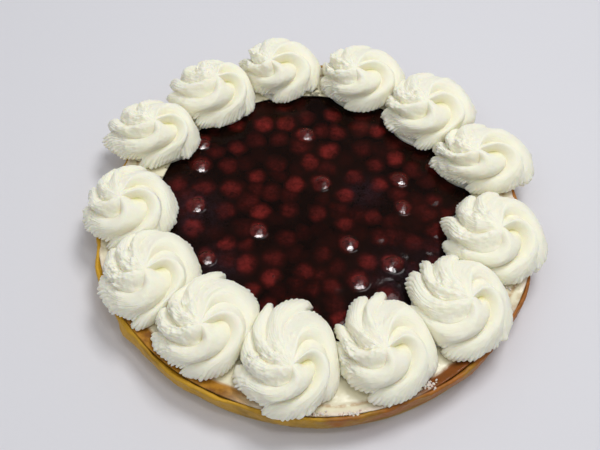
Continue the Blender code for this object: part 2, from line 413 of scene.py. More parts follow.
def closed_turned(name, radius, height, angle, turns, material, **attributes):
    """A closed turned mesh whose first and last rings are capped at the axis."""
    points = cylinder_points(radius, height, angle)
    top = (0.0, 0.0, height[:turns].mean())
    bottom = (0.0, 0.0, height[-turns:].mean())
    points = np.vstack([points, [top, bottom]])
    for label in attributes:
        attributes[label] = np.append(attributes[label], (0.0, 0.0))
    return new_piece(name, points, ring_faces(len(radius) // turns, turns), material, **attributes)


def pastry_finish(settings):
    look = Finish("Baked pastry", {"IOR": 1.45, "Specular IOR Level": 0.35})
    parts = look.add("ShaderNodeSeparateXYZ", {"Vector": look.place})
    side = look.spread(parts.outputs["X"], *BROWN_ACROSS)
    blotch = look.spread(look.noise(38, 4.0), 0.35, 0.65, -0.40, 0.50)
    baked = look.maths("ADD", side, blotch)
    golden, brown = rgba(settings.golden), rgba(settings.brown)
    wall = look.ramp(baked, (0.05, golden), (0.45, rgba(settings.golden, 0.66)), (0.95, brown))
    edge = look.spread(parts.outputs["Z"], *BROWN_EDGE)
    edge = look.maths("MULTIPLY", edge, look.spread(look.noise(160, 3.0), 0.35, 0.7, 0.0, 0.9))
    edge = look.maths("MULTIPLY", edge, look.spread(parts.outputs["X"], -0.05, 0.05))
    wall = look.mix(edge, wall, rgba(settings.brown, 0.55))
    # The wall is paler towards the foot
    wall = look.mix(look.spread(parts.outputs["Z"], *PALE_FOOT), wall, PALE_FOOT_TONE)
    speckle = look.spread(look.noise(900, 2.0), 0.62, 0.75, 0.0, 0.45)
    wall = look.mix(speckle, wall, rgba(settings.brown, 0.5))
    look.paint(wall)
    look.polish(look.spread(look.noise(220, 3.0), 0.3, 0.7, 0.34, 0.62))
    look.emboss(look.noise(700, 5.0), 0.35, 0.0006)
    return look.material


class FLAN_OT_bake_crust(bpy.types.Operator):
    """Builds the baked pastry pan with its craggy rim"""
    bl_idname = "flan.bake_crust"
    bl_label = "Bake crust"

    def execute(self, context):
        settings = context.scene.flan_crust
        edge = WALL_AT_RIM / 2
        rim_centre = RIM_RADIUS - edge
        shoulder = CRUST_HEIGHT - edge * 1.4
        profile = [(FOOT_INSIDE - PAN_CORNER, CRUST_BASE), (FOOT_INSIDE, CRUST_BASE + PAN_CORNER)]
        for height in np.linspace(CRUST_BASE + 3 * PAN_CORNER, shoulder, INSIDE_STEPS):
            profile.append((wall_inside(height), height))
        for turn in np.radians(np.linspace(180, 0, RIM_STEPS)):
            level = CRUST_HEIGHT - edge + edge * math.sin(turn)
            profile.append((rim_centre + edge * math.cos(turn), level))
        for height in np.linspace(shoulder, PAN_CORNER, OUTSIDE_STEPS):
            profile.append((wall_outside(height), height))
        profile += [(FOOT_RADIUS - PAN_CORNER / 5, PAN_CORNER / 3), (FOOT_RADIUS - PAN_CORNER / 2, 0.0)]
        radius, height, angle = turn_profile(profile, CRUST_TURNS)
        points = cylinder_points(radius, height, angle)
        outer = radius > wall_inside(height) + WALL_AT_RIM * 0.6
        upper = rise_between(height, CRUST_HEIGHT / 2, CRUST_HEIGHT)
        lifted = height + RIM_LIFT * np.sin(RIM_LIFTS_ROUND * angle + 1) * upper
        lifted += grains(points * EDGE_STRETCH, EDGE_CRAGS) * rise_between(height, EDGE_FROM, CRUST_HEIGHT)
        outward = wall_sway(angle, height) + np.where(outer, bubble(angle, height), 0.0)
        shows = outer | (height > CUSTARD_TOP - MM)
        free = np.where(shows, rise_between(height, 0.0, CRAG_FOOT), 0.0)
        crag = grains(points, CRAGS) + grains(points, UPPER_CRAGS) * upper
        outward += settings.roughness_height * crag * free
        outward += np.where(outer, FOOT_LIP * np.exp(-((height / FOOT_LIP_TALL) ** 2)), 0.0)
        crust = closed_turned(
            "baked_crust", radius + outward, lifted, angle, CRUST_TURNS, pastry_finish(settings))
        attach(crust, "root")
        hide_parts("crust")
        return {"FINISHED"}


CUSTARD_RINGS = 34
CUSTARD_FILLET = 0.0012
CUSTARD_SWAY_FROM = 0.004
CUSTARD_SWELLS = ((0.0005, 0.012, 4, 3), (0.00018, 0.0018, 6, 3))
CUSTARD_WANDER = ((0.0016, 0.012, 7, 3),)
# Along the rim: the strip of skin next to it, its crumbly patches, and the crease inside it
RIM_STRIP = (-0.0045, -0.0010)
CRUMBLY_GRAIN = 0.009
CRUMBLY_LIFT = 0.0007
CRUMBLY_LUMPS = ((0.0007, 0.0016, 9, 3),)
CRUMBLY_SKIN = (0.80, 0.70, 0.58, 1.0)
FOLD_INSIDE = 0.0065
FOLD_WIDTH = 0.0011
FOLD_DEPTH = 0.0005
# Browned bands along the rim: the middle of each, how far it runs each way, and its width
BAKED_BANDS = (
    (math.radians(-126), math.radians(30), 0.0092),
    (math.radians(-46), math.radians(25), 0.0080),
    (math.radians(-90), math.radians(12), 0.0020),
)
BAND_FADES = 0.0022
BAND_END_FADES = 0.25
BAKED_LIFT = 0.0011
BAKED_ACROSS = (-0.03, 0.05)
BAKED_LEFT = (0.43, 0.195, 0.020, 1.0)
BAKED_RIGHT = (0.20, 0.054, 0.004, 1.0)
BAKED_SPOTS = (0.17, 0.058, 0.010, 1.0)


def custard_finish(settings):
    look = Finish("Custard", {
        "IOR": 1.4, "Specular IOR Level": 0.25, "Coat Weight": 0.2, "Coat Roughness": 0.08})
    pale, browned = rgba(settings.pale), rgba(settings.browned)
    cloud = look.spread(look.noise(45, 4.0), 0.3, 0.7)
    body = look.mix(cloud, pale, rgba(settings.pale, 0.82))
    streak = look.spread(look.noise(260, 4.0), 0.34, 0.55)
    streak = look.maths("MULTIPLY", look.value_of("browning"), streak)
    body = look.mix(streak, body, browned)
    body = look.mix(look.value_of("crumbly"), body, CRUMBLY_SKIN)
    across = look.add("ShaderNodeSeparateXYZ", {"Vector": look.place}).outputs["X"]
    crusted = look.mix(look.spread(across, *BAKED_ACROSS), BAKED_LEFT, BAKED_RIGHT)
    crusted = look.mix(look.spread(look.noise(120, 5.0), 0.48, 0.66, 0.0, 0.8), crusted, BAKED_SPOTS)
    body = look.mix(look.value_of("baked"), body, crusted)
    look.paint(body)
    dull = look.maths("MAXIMUM", look.value_of("crumbly"), look.value_of("baked"))
    look.polish(look.spread(dull, 0.0, 1.0, 0.22, 0.6))
    look.emboss(look.noise(520, 4.0), 0.3, 0.0006)
    return look.material


class FLAN_OT_pour_custard(bpy.types.Operator):
    """Builds the pale custard that shows between the rosettes and the rim"""
    bl_idname = "flan.pour_custard"
    bl_label = "Pour custard"

    def execute(self, context):
        settings = context.scene.flan_custard
        bed = CHERRY_RADIUS + FILLING_GAP
        rim = wall_inside(CUSTARD_TOP) - WALL_GAP
        profile = [(bed, CUSTARD_BED), (bed, CUSTARD_TOP - CUSTARD_FILLET)]
        for share in np.linspace(0.02, 1.0, CUSTARD_RINGS):
            profile.append((blend(bed, rim, share), CUSTARD_TOP))
        for height in (CUSTARD_TOP - MM, 0.015, CUSTARD_LOW + PAN_CORNER):
            profile.append((wall_inside(height) - WALL_GAP - FILLING_GAP, height))
        profile.append((wall_inside(CUSTARD_LOW) - PAN_CORNER - 0.0008, CUSTARD_LOW))
        radius, height, angle = turn_profile(profile, CRUST_TURNS)
        outward = np.where(radius > bed + CUSTARD_SWAY_FROM, wall_sway(angle, height), 0.0)
        points = cylinder_points(radius, height, angle)
        top = height > CUSTARD_TOP - MM / 2
        past_rim = radius - rim
        near_rim = rise_between(past_rim, *RIM_STRIP)
        wander = grains(points, CUSTARD_WANDER)
        fold = np.exp(-(((past_rim + FOLD_INSIDE + wander) / FOLD_WIDTH) ** 2))
        band = np.zeros(len(points))
        for middle, half_turn, width in BAKED_BANDS:
            side = smooth_step((half_turn - angle_from(angle, middle)) / BAND_END_FADES)
            band = np.maximum(band, smooth_step((past_rim + width + wander) / BAND_FADES) * side)
        crumbly = smooth_step(grain(points, CRUMBLY_GRAIN, 8) * 1.6 + 0.55)
        crumbly *= near_rim * (1 - 0.85 * band)
        swell = grains(points, CUSTARD_SWELLS) - FOLD_DEPTH * fold
        swell += crumbly * (CRUMBLY_LIFT + grains(points, CRUMBLY_LUMPS))
        swell += BAKED_LIFT * band * near_rim
        height = height + np.where(top, swell, 0.0)
        browning = np.where(top, np.maximum(fold * 0.8, near_rim * 0.4), 0.0)
        custard = closed_turned(
            "custard_skin", radius + outward, height, angle, CRUST_TURNS, custard_finish(settings),
            browning=browning, crumbly=np.where(top, crumbly, 0.0), baked=np.where(top, band, 0.0))
        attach(custard, "root")
        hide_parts("custard_layer")
        return {"FINISHED"}


JELLY_CELL = 0.0009
JELLY_TURNS = 620
JELLY_EDGE = 0.003
JELLY_FILM = 0.0002
JELLY_CREEP = 0.0004
JELLY_WAVES = ((0.00035, 0.016, 21, 3),)
SHALLOW_SHARE = 0.3
# Patches of the glaze with a painted reflection of the pale room, and waves in their surface: the middle of
# each and how far it reaches (mm)
REFLECTION_PATCHES = ((59, -44, 22), (80, -26, 13), (-78, -2, 17), (-59, -44, 14), (31, 22, 11))
REFLECTION_PATCH_WAVES = ((0.00045, 0.007, 23, 2),)
# The purple-grey of the painted reflection
PAINTED_REFLECTION = (0.024, 0.013, 0.018, 1.0)
# How a cherry shines through: its brightness, how far off its middle its brightest spot lies, and how far
# past its edge it reaches. The spot off the middle and the fall toward the edge are painted light and
# shade, as on a lit ball
PROUD_BRIGHTNESS = (0.6, 1.0)
LOW_BRIGHTNESS = (0.25, 1.15)
LIT_SPOT_SHIFT = 0.28
GLOW_REACH = 1.28
GLOW_DEPTH = 0.0050
GLOW_WARP = 0.0030
GLOW_WARP_SIZE = 0.0075
CHERRY_SINK = 0.0012
SUNK_PITCH = 0.0105
SUNK_TRIES = 1500
SUNK_GROWTH = (0.8, 1.05)
SUNK_REACH = 1.25
SUNK_FADES = 1.1
SUNK_BRIGHTNESS = (0.03, 0.40)
CHERRY_SEGMENTS = 22
CHERRY_BANDS = 14
DIMPLE_DEPTH = 0.20
DIMPLE_WIDTH = 0.045
SKIN_WAVE = 0.03
BALL_END = 0.06


def drawn_place(draw, reach):
    """A place drawn evenly over a disc round the middle."""
    distance = reach * math.sqrt(draw.random())
    angle = draw.uniform(0, TAU)
    return distance * math.cos(angle), distance * math.sin(angle)


def cherry_places():
    """The proud cherries' places, then places drawn for the rest, none nearer than the pitch."""
    draw = random.Random(CHERRY_SEED)
    places = [(x * MM, y * MM) for x, y in PROUD_CHERRIES]
    for _ in range(CHERRY_TRIES):
        x, y = drawn_place(draw, CHERRY_FIELD)
        if all(math.hypot(x - px, y - py) > CHERRY_PITCH for px, py in places):
            places.append((x, y))
    return places


def cherries():
    """Each cherry's middle, half-sizes and turn, drawn as its solid draws them."""
    draw = random.Random(CHERRY_SEED + 1)
    found = []
    for number, (x, y) in enumerate(cherry_places()):
        radius = CHERRY_SIZE / 2 * draw.uniform(*CHERRY_GROWTH)
        half_height = radius * CHERRY_FLATNESS
        proud = number < len(PROUD_CHERRIES)
        top = JELLY_TOP + draw.uniform(*(PROUD_RISE if proud else CHERRY_RISE))
        turn = draw.uniform(0, math.pi)
        halves = (radius, radius * draw.uniform(*CHERRY_OVAL), half_height)
        found.append(((x, y, top - half_height), halves, turn))
    return found


def jelly_finish(settings):
    look = Finish("Cherry jelly", {"IOR": 1.34, "Specular IOR Level": 0.15})
    patch = look.spread(look.noise(105, 3.0, 0.8), 0.32, 0.68, 0.22, 1.35)
    patch = look.maths("MULTIPLY", patch, look.spread(look.noise(380, 4.0), 0.32, 0.68, 0.75, 1.15))
    glow = look.maths("MULTIPLY", look.value_of("glow"), patch)
    cloud = look.spread(look.noise(30, 2.0), 0.3, 0.7)
    deep = look.mix(cloud, rgba(settings.jelly), rgba(settings.jelly, 1.9))
    body = look.mix(glow, deep, rgba(settings.fruit))
    # Painted reflection: purple-grey wisps, the pale room's reflection, painted into the glaze's patches
    reflection_wisps = look.spread(look.noise(95, 5.0, 1.2), 0.42, 0.66, 0.0, 0.75)
    look.paint(look.mix(look.maths("MULTIPLY", reflection_wisps, look.value_of("cloudy")), body, PAINTED_REFLECTION))
    look.polish(look.spread(look.noise(90, 2.0), 0.3, 0.7, 0.03, 0.10))
    look.emboss(look.noise(200, 3.0), 0.22, 0.0008)
    return look.material


def cherry_finish(settings):
    look = Finish("Cherry skin", {"IOR": 1.35, "Roughness": 0.09})
    patch = look.spread(look.noise(260, 5.0, 0.65), 0.32, 0.68)
    look.paint(look.mix(patch, rgba(settings.fruit, 0.15), rgba(settings.fruit, 0.9)))
    look.emboss(look.noise(330, 4.0), 0.75, 0.0010)
    return look.material


def oval_reach(points, middle, halves, turn):
    """0 at the middle of a turned oval and 1 at its edge, squared."""
    dx, dy = points[:, 0] - middle[0], points[:, 1] - middle[1]
    along = (dx * math.cos(turn) + dy * math.sin(turn)) / halves[0]
    across = (dy * math.cos(turn) - dx * math.sin(turn)) / halves[1]
    return along ** 2 + across ** 2


def unit_ball(bands, segments):
    """Points and faces of a ball of radius 1."""
    tilt = np.repeat(np.linspace(BALL_END, math.pi - BALL_END, bands), segments)
    turn = np.tile(np.arange(segments) * TAU / segments, bands)
    ball = np.stack([np.sin(tilt) * np.cos(turn), np.sin(tilt) * np.sin(turn), np.cos(tilt)], axis=1)
    return np.vstack([ball, [(0, 0, 1), (0, 0, -1)]]), ring_faces(bands, segments)


class FLAN_OT_set_cherries(bpy.types.Operator):
    """Builds the glossy dark jelly and the cherries that break its surface"""
    bl_idname = "flan.set_cherries"
    bl_label = "Set cherries"

    def execute(self, context):
        settings = context.scene.flan_cherry
        fruit = cherries()
        rings = np.linspace(0.004, 1.0, int(CHERRY_RADIUS / JELLY_CELL)) * CHERRY_RADIUS
        profile = [(radius, JELLY_TOP) for radius in rings] + [(CHERRY_RADIUS, JELLY_LOW)]
        radius, height, angle = turn_profile(profile, JELLY_TURNS)
        points = cylinder_points(radius, height, angle)
        top = height > JELLY_TOP - MM
        # Painted reflection: a mask of the patches where the pale room's reflection is painted into the
        # glaze and its surface is waved
        cloudy = np.zeros(len(points))
        for x, y, reach in REFLECTION_PATCHES:
            away = np.hypot(points[:, 0] - x * MM, points[:, 1] - y * MM) / (reach * MM)
            cloudy = np.maximum(cloudy, np.exp(-away ** 2))
        level = JELLY_TOP + grains(points, JELLY_WAVES) + grains(points, REFLECTION_PATCH_WAVES) * cloudy
        warp = [grain(points, GLOW_WARP_SIZE, seed, 2) for seed in (51, 52)]
        seen = points[:, :2] + GLOW_WARP * np.stack(warp, axis=1)
        glow = self.sunk_glow(seen, fruit)
        draw = random.Random(33)
        for number, ((x, y, z), (half_x, half_y, half_z), turn) in enumerate(fruit):
            proud = number < len(PROUD_CHERRIES)
            brightness = draw.uniform(*(PROUD_BRIGHTNESS if proud else LOW_BRIGHTNESS))
            near = top & (np.hypot(points[:, 0] - x, points[:, 1] - y) < half_x * 1.6)
            reach = oval_reach(points[near], (x, y), (half_x, half_y), turn)
            ball = z + half_z * np.sqrt(np.maximum(0.0, 1 - reach)) - JELLY_FILM
            ball = np.where(reach < 1, ball, z - (np.sqrt(reach) - 1) * half_z * 2)
            lift = JELLY_CREEP * np.logaddexp(0, (ball - level[near]) / JELLY_CREEP)
            level[near] += lift * (1.0 if proud else SHALLOW_SHARE)
            depth = np.maximum(0.0, level[near] - ball)
            # Painted light and shade: each disc is painted brightest at a spot off its middle and darker
            # toward its edge, like a lit ball seen through the jelly
            lit_spot_x = x + half_x * draw.uniform(-LIT_SPOT_SHIFT, LIT_SPOT_SHIFT)
            lit_spot_y = y + half_y * draw.uniform(-LIT_SPOT_SHIFT, LIT_SPOT_SHIFT)
            disc = np.sqrt(oval_reach(seen[near], (lit_spot_x, lit_spot_y), (half_x, half_y), turn))
            shine = np.exp(-depth / GLOW_DEPTH) * smooth_step(GLOW_REACH - disc) * brightness
            glow[near] = np.maximum(glow[near], shine)
        edge = smooth_step((CHERRY_RADIUS - radius) / JELLY_EDGE)
        height = np.where(top, blend(JELLY_TOP, level, edge), height)
        jelly = closed_turned(
            "cherry_jelly", radius, height, angle, JELLY_TURNS, jelly_finish(settings),
            glow=glow, cloudy=cloudy)
        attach(jelly, "root")
        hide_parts("cherry_filling")
        self.add_cherries(fruit, settings)
        return {"FINISHED"}

    def sunk_glow(self, points, fruit):
        """The faint discs of deep cherries between the ones that show."""
        draw = random.Random(35)
        glow = np.zeros(len(points))
        taken = [(x, y) for (x, y, _), _, _ in fruit]
        for _ in range(SUNK_TRIES):
            x, y = drawn_place(draw, CHERRY_RADIUS - CHERRY_SIZE / 2)
            if any(math.hypot(x - px, y - py) < SUNK_PITCH for px, py in taken):
                continue
            taken.append((x, y))
            size = CHERRY_SIZE / 2 * draw.uniform(*SUNK_GROWTH)
            reach = np.hypot(points[:, 0] - x, points[:, 1] - y) / size
            disc = smooth_step((SUNK_REACH - reach) / SUNK_FADES)
            glow = np.maximum(glow, disc * draw.uniform(*SUNK_BRIGHTNESS))
        return glow

    def add_cherries(self, fruit, settings):
        """One joined mesh of whole cherries, each with its own dimple."""
        draw = random.Random(31)
        ball, one = unit_ball(CHERRY_BANDS, CHERRY_SEGMENTS)
        points = []
        for number, (middle, halves, turned) in enumerate(fruit):
            pit = Vector((draw.gauss(0, 1), draw.gauss(0, 1), draw.gauss(0.4, 1))).normalized()
            facing = ball @ np.array(pit)
            dent = 1 - DIMPLE_DEPTH * np.exp(-(1 - facing) / DIMPLE_WIDTH)
            dent += SKIN_WAVE * grain(ball, 0.7, 40 + number, 2)
            shape = ball * dent[:, None] * np.array(halves)
            spun = shape.copy()
            spun[:, 0] = shape[:, 0] * math.cos(turned) - shape[:, 1] * math.sin(turned)
            spun[:, 1] = shape[:, 0] * math.sin(turned) + shape[:, 1] * math.cos(turned)
            points.append(spun + middle)
        for number in range(len(PROUD_CHERRIES), len(points)):
            points[number][:, 2] -= CHERRY_SINK
        faces = copied_faces(one, len(ball), len(points))
        piece = new_piece("cherries", np.vstack(points), faces, cherry_finish(settings))
        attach(piece, "root")


# Pale crumbs along the rim: each cluster's angle (degrees), radius, spread both ways (mm) and count
CRUMB_CLUSTERS = (
    (-86, 136.4, 7, 1.6, 26),
    (-78, 137.4, 6, 1.4, 22),
    (-58, 134.6, 5, 2.4, 34),
    (-29, 133.0, 6, 2.0, 14),
    (-20, 129.0, 4, 2.4, 10),
)
CRUMB_SIZE = (0.0004, 0.0011)
CRUMB_WIDE = (0.6, 1.0)
CRUMB_TALL = (0.5, 0.8)
CRUMB_LUMPS = 0.35
CRUMB_LEVEL = 0.0229
CRUMB_BROWN = (0.72, 0.56, 0.46, 1.0)
CRUMB_PALE = (0.80, 0.74, 0.66, 1.0)


def crumb_finish():
    look = Finish("Rim crumbs", {"Roughness": 0.6, "Subsurface Weight": 0.2, "Subsurface Scale": 0.001})
    look.paint(look.mix(look.spread(look.noise(700, 2.0), 0.35, 0.65), CRUMB_BROWN, CRUMB_PALE))
    look.emboss(look.noise(1500, 2.0), 0.4, 0.0003)
    return look.material


class FLAN_OT_scatter_crumbs(bpy.types.Operator):
    """Scatters pale crumbs along the near rim"""
    bl_idname = "flan.scatter_crumbs"
    bl_label = "Scatter crumbs"

    def execute(self, context):
        draw = random.Random(61)
        ball, one = unit_ball(5, 8)
        points = []
        for angle, radius, along, across, count in CRUMB_CLUSTERS:
            for _ in range(round(count * context.scene.flan_crust.crumbs)):
                size = draw.uniform(*CRUMB_SIZE)
                reach = (radius + draw.gauss(0, across / 2)) * MM
                turn = math.radians(angle) + draw.gauss(0, along / 2) * MM / reach
                shape = ball * (1 + CRUMB_LUMPS * grain(ball, 0.9, 200 + len(points), 2))[:, None]
                shape = shape * size * (1.0, draw.uniform(*CRUMB_WIDE), draw.uniform(*CRUMB_TALL))
                spun = np.array(shape @ np.array(Matrix.Rotation(draw.uniform(0, TAU), 3, "Z")))
                place = (reach * math.cos(turn), reach * math.sin(turn), CRUMB_LEVEL + size * 0.3)
                points.append(spun + place)
        faces = copied_faces(one, len(ball), len(points))
        crumbs = new_piece("rim_crumbs", np.vstack(points), faces, crumb_finish())
        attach(crumbs, "root")
        return {"FINISHED"}


SWIRL_LINES = 408
SWIRL_RINGS = 56
LINES_BY_FOOT = 0.65
GROOVE_SWAY = 5.0
TURN_SWAY = 7.0
DEPTH_SWAY = (0.85, 1.15)
STEP_SWAY = (0.8, 1.2)
# A ridge's crest and its two slopes, each at the eye and at the foot, and the rings between which
# the crest and the slopes go from the one to the other
CREST = (0.26, 0.80)
CREST_RINGS = (0.25, 0.80)
RISE_POWER = (2.6, 1.5)
FALL_POWER = (1.35, 0.75)
SLOPE_RINGS = (0.3, 0.8)

# Petals: how far each tip stands out past the end of the petal before it, and how its lip runs
PETAL_FROM = 0.46
PETAL_BOW = 1.3
SHORT_GROOVES = (0.28, 0.53)
SHORT_GROOVE_LEAD = 0.30
TIP_LEAN = math.radians(4)
TIP_LEAN_SHARE = 0.14
TIP_BLUNT = 0.0030
TIP_ROUND = 0.05
LIP_HEIGHT = (0.0010, 0.0052)
LIP_FLARE = 0.0012
FLARE_FROM = 0.70
# How far the lips over the jelly are moved: out at the near side, and back at the far one and the ends
INNER_REACH = 0.0018
INNER_TUCK = 0.0018
INNER_COSINES = (0.1, 0.8)
INNER_RINGS = (0.4, 0.9)
UNDERSIDE = ((0.0008, 0.0007), (0.0026, 0.0016))
SKIRT_IN = 0.0062
SKIRT_DROP = 0.0031
SKIRT_REACH = 0.1355
SKIRT_FADES = 0.004
# Teeth of the torn edges: their length round it, their uneven sizes, and how they wax and wane
TOOTH_LENGTH = 0.0031
TOOTH_SIZES = ((0.45, 0.0045, 3, 1), (0.35, 0.010, 5, 1))
TOOTH_BEAT = (0.35, 40, 9)
TEETH_RINGS = (0.84, 0.98)
FLUTED_RINGS = (0.42, 0.62)
FLUTED_SHARE = 0.22
TORN_SIDE = math.radians(125)
TORN_COSINES = (-0.35, 0.35)
TORN_RINGS = (0.16, 0.38)
TORN_SHARE = 0.22

PRESS_SOFTNESS = 0.0022
PRESS_OVERLAP = 0.0012

# The torn, crumbly side of a rosette, seen from its eye, and the lump beside the eye
CRUMBLE_ANGLE = math.radians(158)
CRUMBLE_SPREAD = math.radians(58)
CRUMBLE_REACH = 0.034
CRUMBLE_FADES = 0.012
CRUMBLE_RINGS = (0.0015, 0.0065)
CRUMBLE_SWELL = -0.0008
CRUMBLE_LUMPS = 0.0024
# Each kind of lump: its strength, grain size, seed, octaves, and how much wider than the gaps it is
LUMPS = ((1.0, 0.0034, 0, 3, 0.25), (0.6, 0.0019, 1, 2, 0.0))
CRUMBLE_FLUTES = 0.0002
FLUTES_ROUND = 46
LUMP_PLACE = (-0.008, 0.005)
LUMP_WIDTH = 0.007
LUMP_HEIGHT = 0.0003
EYE_GRAIN = ((0.0005, 0.0026, 3, 2),)
EYE_WIDE = 0.006
# Painted shade: the ring near the eye where olive is painted into the deepest creases, how wide it spreads,
# and that olive colour
CREASE_SHADE_RING = 0.20
CREASE_SHADE_WIDE = 0.13
DEEP_CREASE_SHADE = (0.72, 0.68, 0.32, 1.0)
CREAM_GRAIN = ((0.00014, 0.0013, 4, 1), (0.00022, 0.0045, 5, 2))


def rosette_centre(number):
    angle, ring_radius = ROSETTES[number % len(ROSETTES)][:2]
    turn = math.radians(angle)
    x = RING_CENTRE[0] + ring_radius * MM * math.cos(turn)
    y = RING_CENTRE[1] + ring_radius * MM * math.sin(turn)
    return x, y


def swirl_lines(draw):
    """Each line's start, clockwise turn, share of the way to the next groove, depth, full ring and step."""
    grooves = []
    for start, turn, depth, full, step in GROOVES:
        start += draw.uniform(-GROOVE_SWAY, GROOVE_SWAY)
        turn += draw.uniform(-TURN_SWAY, TURN_SWAY)
        depth *= draw.uniform(*DEPTH_SWAY)
        step *= MM * draw.uniform(*STEP_SWAY)
        grooves.append((start, turn, depth, full, step))
    columns = []
    for number, (start, turn, depth, full, _) in enumerate(grooves):
        next_start, next_turn, next_depth, next_full, next_step = grooves[(number + 1) % len(grooves)]
        if next_start < start:
            next_start += 360
        foot_turn = next_start - next_turn - start + turn
        count = round(SWIRL_LINES * blend(next_start - start, foot_turn, LINES_BY_FOOT) / 360)
        even = np.arange(count) / count
        share = blend(even, 0.5 - 0.5 * np.cos(math.pi * even), 0.5)
        columns.append(np.stack([
            np.radians(blend(start, next_start, share)), np.radians(blend(turn, next_turn, share)),
            share, blend(depth, next_depth, share), blend(full, next_full, share),
            np.full(count, next_step)]))
    return np.hstack(columns)


def ridge_height(share, ring):
    """Height of a ridge, 0 in its groove and 1 on its crest, which moves outward on the way down."""
    crest = blend(*CREST, rise_between(ring, *CREST_RINGS))
    sloped = rise_between(ring, *SLOPE_RINGS)
    rise = 1 - (1 - np.clip(share / crest, 0, 1)) ** blend(*RISE_POWER, sloped)
    fall = np.clip((1 - share) / (1 - crest), 0, 1) ** blend(*FALL_POWER, sloped)
    return np.where(share < crest, rise, fall)


def torn_edge(angle, radius, seed):
    """Rounded teeth of uneven size round an edge, 0 in the notches and about 1 at their tips."""
    spot = np.stack([np.cos(angle), np.sin(angle), np.zeros_like(angle)], axis=1) * radius
    phase = angle * radius / TOOTH_LENGTH * math.pi + 2.2 * grain(spot, 0.006, seed, 2)
    size = 0.55 + grains(spot, TOOTH_SIZES, seed)
    return np.abs(np.sin(phase)) ** 0.7 * np.maximum(0.1, size) - 0.3


def press(x, y, towards):
    """Flattens the side of a rosette that leans on its neighbour, just past the plane between them."""
    reach = math.hypot(*towards)
    nx, ny = towards[0] / reach, towards[1] / reach
    beyond = (x * nx + y * ny - (reach / 2 + PRESS_OVERLAP)) / PRESS_SOFTNESS
    move = -np.logaddexp(0, -beyond) * PRESS_SOFTNESS - beyond * PRESS_SOFTNESS
    return x + nx * move, y + ny * move


def crumble(points, outward, line_start, eye, seed):
    """Roughens a swirl: lumps and flutes on its torn side, a rough eye, and a fine grain all over."""
    x, y = points[:, 0] - eye[0], points[:, 1] - eye[1]
    away = np.hypot(x, y)
    off = angle_from(np.arctan2(y, x), CRUMBLE_ANGLE)
    zone = np.exp(-((off / CRUMBLE_SPREAD) ** 2)) * rise_between(away, *CRUMBLE_RINGS)
    zone *= smooth_step((CRUMBLE_REACH - away) / CRUMBLE_FADES)
    zone *= np.clip(0.75 + 0.9 * grain(points, 0.009, seed + 9, 2), 0, 1.3)
    lumps = sum(
        strength * np.clip(grain(points, size, seed + own_seed, octaves) * 1.6 + wide, 0, 1)
        for strength, size, own_seed, octaves, wide in LUMPS)
    flutes = np.abs(np.sin(line_start * FLUTES_ROUND / 2 + 2.5 * grain(points, 0.007, seed + 2, 2)))
    amount = zone * (CRUMBLE_SWELL + CRUMBLE_LUMPS * lumps + CRUMBLE_FLUTES * flutes)
    amount += grains(points, EYE_GRAIN, seed) * np.exp(-((away / EYE_WIDE) ** 2))
    amount += grains(points, CREAM_GRAIN, seed)
    return points + outward * amount[:, None]


